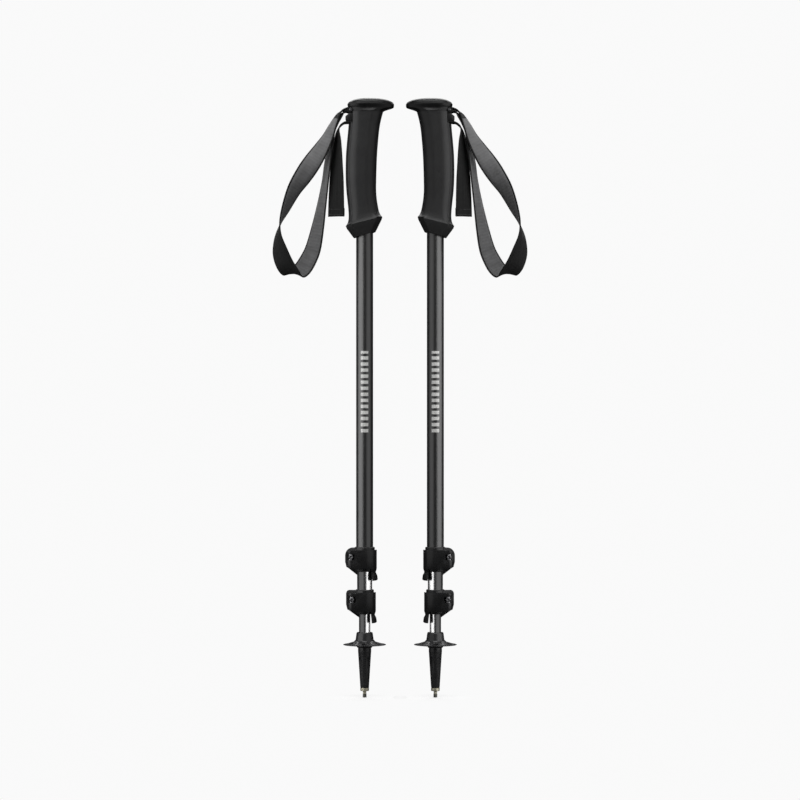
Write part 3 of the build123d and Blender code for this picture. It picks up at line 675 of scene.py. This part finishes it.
def band(route, lined=(0, 0)):
    """A strap along a route: its points, faces, cloth coordinates, material numbers and length.

    lined is the route's points between which it has a lining."""
    steps = 10
    flat = catmull([(*middle, *across) for middle, across in route], steps)
    middles, across = flat[:, :3], flat[:, 3:]
    along = np.gradient(middles, axis=0)
    along /= np.linalg.norm(along, axis=1)[:, None]
    across = across - along * (across * along).sum(1)[:, None]
    across /= np.linalg.norm(across, axis=1)[:, None]
    outward = np.cross(along, across)
    travel = np.concatenate([[0], np.cumsum(np.linalg.norm(np.diff(middles, axis=0), axis=1))])
    points, uvs = [], []
    for middle, a, o, u in zip(middles, across, outward, travel):
        for share, lift, _ in BAND:
            points.append(middle + a * share * STRAP_W / 2 + o * lift * STRAP_T / 2)
            uvs.append((u * MM, share * STRAP_W / 2 * MM))
    count = len(BAND)
    faces, kinds = [], []
    for i in range(len(middles) - 1):
        for j in range(count):
            k = (j + 1) % count
            faces.append((i * count + j, (i + 1) * count + j, (i + 1) * count + k, i * count + k))
            kinds.append(1 if BAND[j][2] and lined[0] <= i / steps < lined[1] else 0)
    last = (len(middles) - 1) * count
    faces += [tuple(range(count)), tuple(range(last, last + count))[::-1]]
    kinds += [0, 0]
    return points, faces, uvs, kinds, travel[-1]


def tail_end():
    """The tail's lower end: its middle, and the directions along it, across it and out of its face."""
    (upper, _), (lower, across) = TAIL_ROUTE[-2:]
    along = np.array(lower) - np.array(upper)
    along /= np.linalg.norm(along)
    across = np.array(across) / np.linalg.norm(across)
    return np.array(lower), along, across, np.cross(along, across)


HEM_H, HEM_T = 9.5, 1.2
HEM_SEAT = STRAP_T / 2 - 0.3  # from the strap's middle to the hem's inner face
# Places up the hem, as shares of its height, and how much of its thickness it has there.
HEM_PROFILE = ((0.0, 0.15), (0.06, 0.75), (0.16, 1.0), (0.84, 1.0), (0.94, 0.75), (1.0, 0.15))


def make_hem(side, length):
    """The tail's end, folded back under itself."""
    lower, along, across, out = tail_end()
    half = STRAP_W / 2 - 0.15
    section = [(-half, 0.0), (-half + 0.2, HEM_T * 0.8), (-half + 0.8, HEM_T)]
    section += [(-a, b) for a, b in reversed(section)]
    rings, uvs = [], []
    for i, (share, thick) in enumerate(HEM_PROFILE):
        middle = lower - along * (HEM_H * share + 0.05) - out * HEM_SEAT
        rings.append([middle + across * a - out * b * thick for a, b in section])
        u = length - HEM_H * i / (len(HEM_PROFILE) - 1)
        uvs += [(u * MM, a * MM) for a, _ in section]
    points, faces = loft(rings)
    hem = new_piece("tail_hem", side, points, faces, [WEBBING], sharp=60, uvs=uvs)
    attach(hem, f"{side}_pole")


STITCH_L, STITCH_PITCH = 1.24, 1.7
STITCH_R, STITCH_FLAT = 0.24, 0.7  # a stitch's radius, and how flat it lies
STITCH_ROWS = (2.0, 7.6)  # above the tail's end


def make_thread(side):
    """Two rows of short raised stitches across the hem, on both faces."""
    lower, along, across, out = tail_end()
    points, faces = [], []
    for row, k, face_side in product(STITCH_ROWS, range(-5, 6), (-1, 1)):
        rise = STRAP_T / 2 + 0.02 if face_side > 0 else HEM_SEAT + HEM_T
        centre = lower - along * row + across * k * STITCH_PITCH + out * face_side * rise
        stitch = []
        for a in np.linspace(-STITCH_L / 2, STITCH_L / 2, 5):
            puff = STITCH_R * (1 - (a / (STITCH_L / 2)) ** 2) ** 0.5 + 0.04
            up = out * face_side * puff * STITCH_FLAT
            turns = np.linspace(0, 2 * pi, 7)[:-1]
            stitch.append([centre + across * a + along * STITCH_R * cos(b) + up * sin(b) for b in turns])
        more_points, more_faces = loft(stitch)
        faces += [tuple(i + len(points) for i in face) for face in more_faces]
        points += more_points
    thread = new_piece("tail_thread", side, points, faces, [THREAD], sharp=60)
    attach(thread, f"{side}_pole")


# The stretches of the loop's two ends inside the grip's slot, above and below the pin.
INTO_SLOT = [((-13.6, 0.0, 624.6), (0.0, 1.0, 0.0)), ((-17.0, 0.0, 624.3), (0.0, 1.0, 0.0))]
OUT_OF_SLOT = [((-17.0, 0.0, 620.3), (0.0, -1.0, 0.0)), ((-13.6, 0.0, 619.6), (0.0, -1.0, 0.0))]


def make_loop(side):
    route = INTO_SLOT + LOOP_ROUTE + OUT_OF_SLOT
    points, faces, uvs, kinds, length = band(route, lined=(4.4, len(route) - 6.0))
    loop = new_piece("wrist_loop", side, points, faces, [WEBBING, LINING], sharp=60, uvs=uvs, kinds=kinds)
    held, free = to_world([(-18.0, 0.0, 622.3), (-27.0, 0.0, 615.5)], side)
    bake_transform(loop)
    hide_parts(f"{side}_strap_loop")


def make_tail(side):
    points, faces, uvs, _, length = band(TAIL_ROUTE)
    tail = new_piece("loose_tail", side, points, faces, [WEBBING], sharp=60, uvs=uvs)
    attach(tail, f"{side}_pole")
    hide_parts(f"{side}_strap_tail")
    make_hem(side, length)
    make_thread(side)


# ---------------------------------------------------------------- the pair

# The pieces that are shown as the CAD has them.
CAD_FINISHES = {
    "strap_pin": STEEL,
    "strap_root": WEBBING,
    "upper_shaft": DARK_TUBE,
    "upper_shaft_plug": LOCK,
    "middle_shaft": SILVER_TUBE,
    "middle_shaft_bushing": LOCK,
    "lower_shaft": SILVER_TUBE,
    "lower_shaft_bushing": LOCK,
    "lower_lock_liner": LOCK,
    "tip_ferrule": FERRULE,
    "carbide_tip": CARBIDE,
    "upper_lock_barrel": STEEL,
    "lower_lock_barrel": STEEL,
    "upper_lock_nut": STEEL,
    "lower_lock_nut": STEEL,
}

for side in SIDES:
    make_grip(side)
    make_cap(side)
    make_loop(side)
    make_tail(side)
    for name, finish in CAD_FINISHES.items():
        node = frame["nodes"][f"{side}_{name}"]
        for slot in node.material_slots:
            slot.material = finish
    eased(f"{side}_strap_wedge", f"{side}_strap_wedge", LOCK, 0.4)
    for lock, body in (("upper", "pole"), ("lower", "middle_section")):
        eased(f"{side}_{lock}_lock_collar", f"{side}_{body}", LOCK, 0.5)
        eased(f"{side}_{lock}_lock_lever", f"{side}_{lock}_lever", LOCK, 0.7)
        eased(f"{side}_{lock}_lock_screw", f"{side}_{lock}_screw", STEEL, 0.15)
    eased(f"{side}_basket", f"{side}_lower_section", TIP, 0.25)
    eased(f"{side}_tip_body", f"{side}_lower_section", TIP, 0.3)

# ---------------------------------------------------------------- studio

PAPER = 0.953  # how bright the backdrop looks
FLOOR_GREY, FLOOR_LIGHT = 0.3, 0.54  # the floor's own grey, and how bright the lights make a white one
# The floor is a small disc under each tip, so that the poles show below it when they extend.
FLOOR_R = 0.045
BOWL_R, BOWL_BEND_R, BOWL_BOTTOM, BOWL_WALL_TOP = 12.0, 3.0, -14.0, 12.0


def paper(name, lit_radius=None):
    """Glowing white paper. Within that radius of a pole's axis, the lights take over part of the glow."""
    finish = Finish(name, (0, 0, 0), 0.9, specular=0.0)
    finish.shader.inputs["Emission Color"].default_value = (1, 1, 1, 1)
    finish.shader.inputs["Emission Strength"].default_value = PAPER
    if lit_radius:
        x, y, _ = finish.split(finish.place)
        x = finish.math("SUBTRACT", finish.math("ABSOLUTE", x), axis_x("right"))
        far = finish.math("SQRT", finish.math("ADD", finish.product(x, x), finish.product(y, y)))
        lit = finish.ramp(far, (0.4 * lit_radius, 1.0), (0.95 * lit_radius, 0.0))
        finish.colour(finish.mix(lit, (0, 0, 0), (FLOOR_GREY,) * 3))
        glow = finish.math("MULTIPLY_ADD", lit, -FLOOR_GREY * FLOOR_LIGHT, PAPER)
        finish.join(finish.shader.inputs["Emission Strength"], glow)
    return finish.material


def staged(name, profile, finish, centre_x=0.0):
    """A surface of revolution round an upright axis, as scenery that doesn't light the poles."""
    turns = 64
    angles = [2 * pi * k / turns for k in range(turns)]
    points = [(centre_x + r * cos(a), r * sin(a), z) for r, z in profile for a in angles]
    faces = []
    for i in range(len(profile) - 1):
        for k in range(turns):
            nxt = (k + 1) % turns
            faces.append((i * turns + k, i * turns + nxt, (i + 1) * turns + nxt, (i + 1) * turns + k))
    mesh = bpy.data.meshes.new(name)
    mesh.from_pydata(points, [], faces)
    mesh.materials.append(finish)
    for face in mesh.polygons:
        face.use_smooth = True
    scenery = bpy.data.objects.new(name, mesh)
    scenery.visible_glossy = scenery.visible_diffuse = False
    bpy.context.scene.collection.objects.link(scenery)


def studio():
    """A small disc of floor under each tip, inside a pale bowl that holds the camera at the longest pose."""
    floor = paper("studio_floor", FLOOR_R)
    for side in SIDES:
        disc = [(0.0005, 0.0), (FLOOR_R / 2, 0.0), (FLOOR_R, 0.0)]
        staged(f"floor_{side}", disc, floor, axis_x(side))
    profile = [(0.01, BOWL_BOTTOM), (BOWL_R, BOWL_BOTTOM)]
    for a in np.linspace(0.1, pi / 2, 12):
        profile.append((BOWL_R + BOWL_BEND_R * sin(a), BOWL_BOTTOM + BOWL_BEND_R * (1 - cos(a))))
    profile += [(BOWL_R + BOWL_BEND_R, BOWL_WALL_TOP), (0.01, BOWL_WALL_TOP + 1.5)]
    staged("studio_bowl", profile, paper("studio_paper"))


def lit_group(name, wanted):
    """The pieces that a softbox is set up for, as a collection that its light is linked to."""
    group = bpy.data.collections.new(name)
    bpy.context.scene.collection.children.link(group)
    for piece in list(bpy.context.scene.objects):
        if piece.type == "MESH" and wanted(piece):
            group.objects.link(piece)
    return group


def softbox(name, bearing, rise, distance, width, height, radiance, aim, receivers=None):
    """An area light that faces the aim from that bearing, in degrees to the camera's right of the camera.

    rise is its height above the aim, and radiance is how bright it looks."""
    light = bpy.data.lights.new(name, "AREA")
    light.shape, light.size, light.size_y = "RECTANGLE", width, height
    light.energy = radiance * pi * width * height
    lamp = bpy.data.objects.new(name, light)
    a = radians(bearing)
    lamp.location = (aim[0] + distance * sin(a), aim[1] - distance * cos(a), aim[2] + rise)
    lamp.rotation_mode = "QUATERNION"
    lamp.rotation_quaternion = (Vector(aim) - lamp.location).to_track_quat("-Z", "Y")
    lamp.visible_camera = False
    bpy.context.scene.collection.objects.link(lamp)
    if receivers:
        lamp.light_linking.receiver_collection = receivers


studio()
SILVER = ("middle_shaft", "lower_shaft")
for side in SIDES:
    # Each pole's lights mirror the other pole's: bearings are positive on its strap's side.
    out = -1 if side == "left" else 1
    plain = lit_group(f"{side}_pole_lit", lambda p: p.name.startswith(side) and not p.name.endswith(SILVER))
    bright = lit_group(f"{side}_tubes_lit", lambda p: p.name.startswith(side) and p.name.endswith(SILVER))
    for name, bearing, rise, width, height, radiance, receivers in (
        ("key", 58, 0.30, 1.55, 1.5, 1.55, plain),
        ("fill", -64, 0.15, 1.7, 1.3, 0.5, plain),
        ("tube_key", 54, 0.0, 1.6, 1.3, 0.15, bright),
        ("tube_edge", -68, 0.0, 1.6, 1.3, 1.8, bright),
    ):
        aim = (axis_x(side), 0, 0.34)
        softbox(f"{side}_{name}", out * bearing, rise, 1.0, width, height, radiance, aim, receivers)
softbox("overhead", 0, 1.9, 0.8, 1.4, 1.2, 3.6, (0, 0, 0.3))
softbox("back_fill", 180, 1.7, 1.5, 2.4, 1.2, 3.0, (0, 0, 0.3))

world = bpy.data.worlds.new("studio_world")
world.use_nodes = True
world.node_tree.nodes["Background"].inputs["Color"].default_value = (0.9, 0.9, 0.92, 1)
world.node_tree.nodes["Background"].inputs["Strength"].default_value = 0.04
bpy.context.scene.world = world
bpy.context.scene.view_settings.view_transform = "Standard"

CAMERA_AWAY, CAMERA_UP, LENS = 2.992, 0.3152, 127  # metres, metres and millimetres
lens = bpy.data.cameras.new("camera")
lens.lens, lens.sensor_width = LENS, 36
lens.clip_end = 50
camera = bpy.data.objects.new("camera", lens)
camera.location = (0, -CAMERA_AWAY, CAMERA_UP)
camera.rotation_euler = (pi / 2, 0, 0)
bpy.context.scene.collection.objects.link(camera)
bpy.context.scene.camera = camera
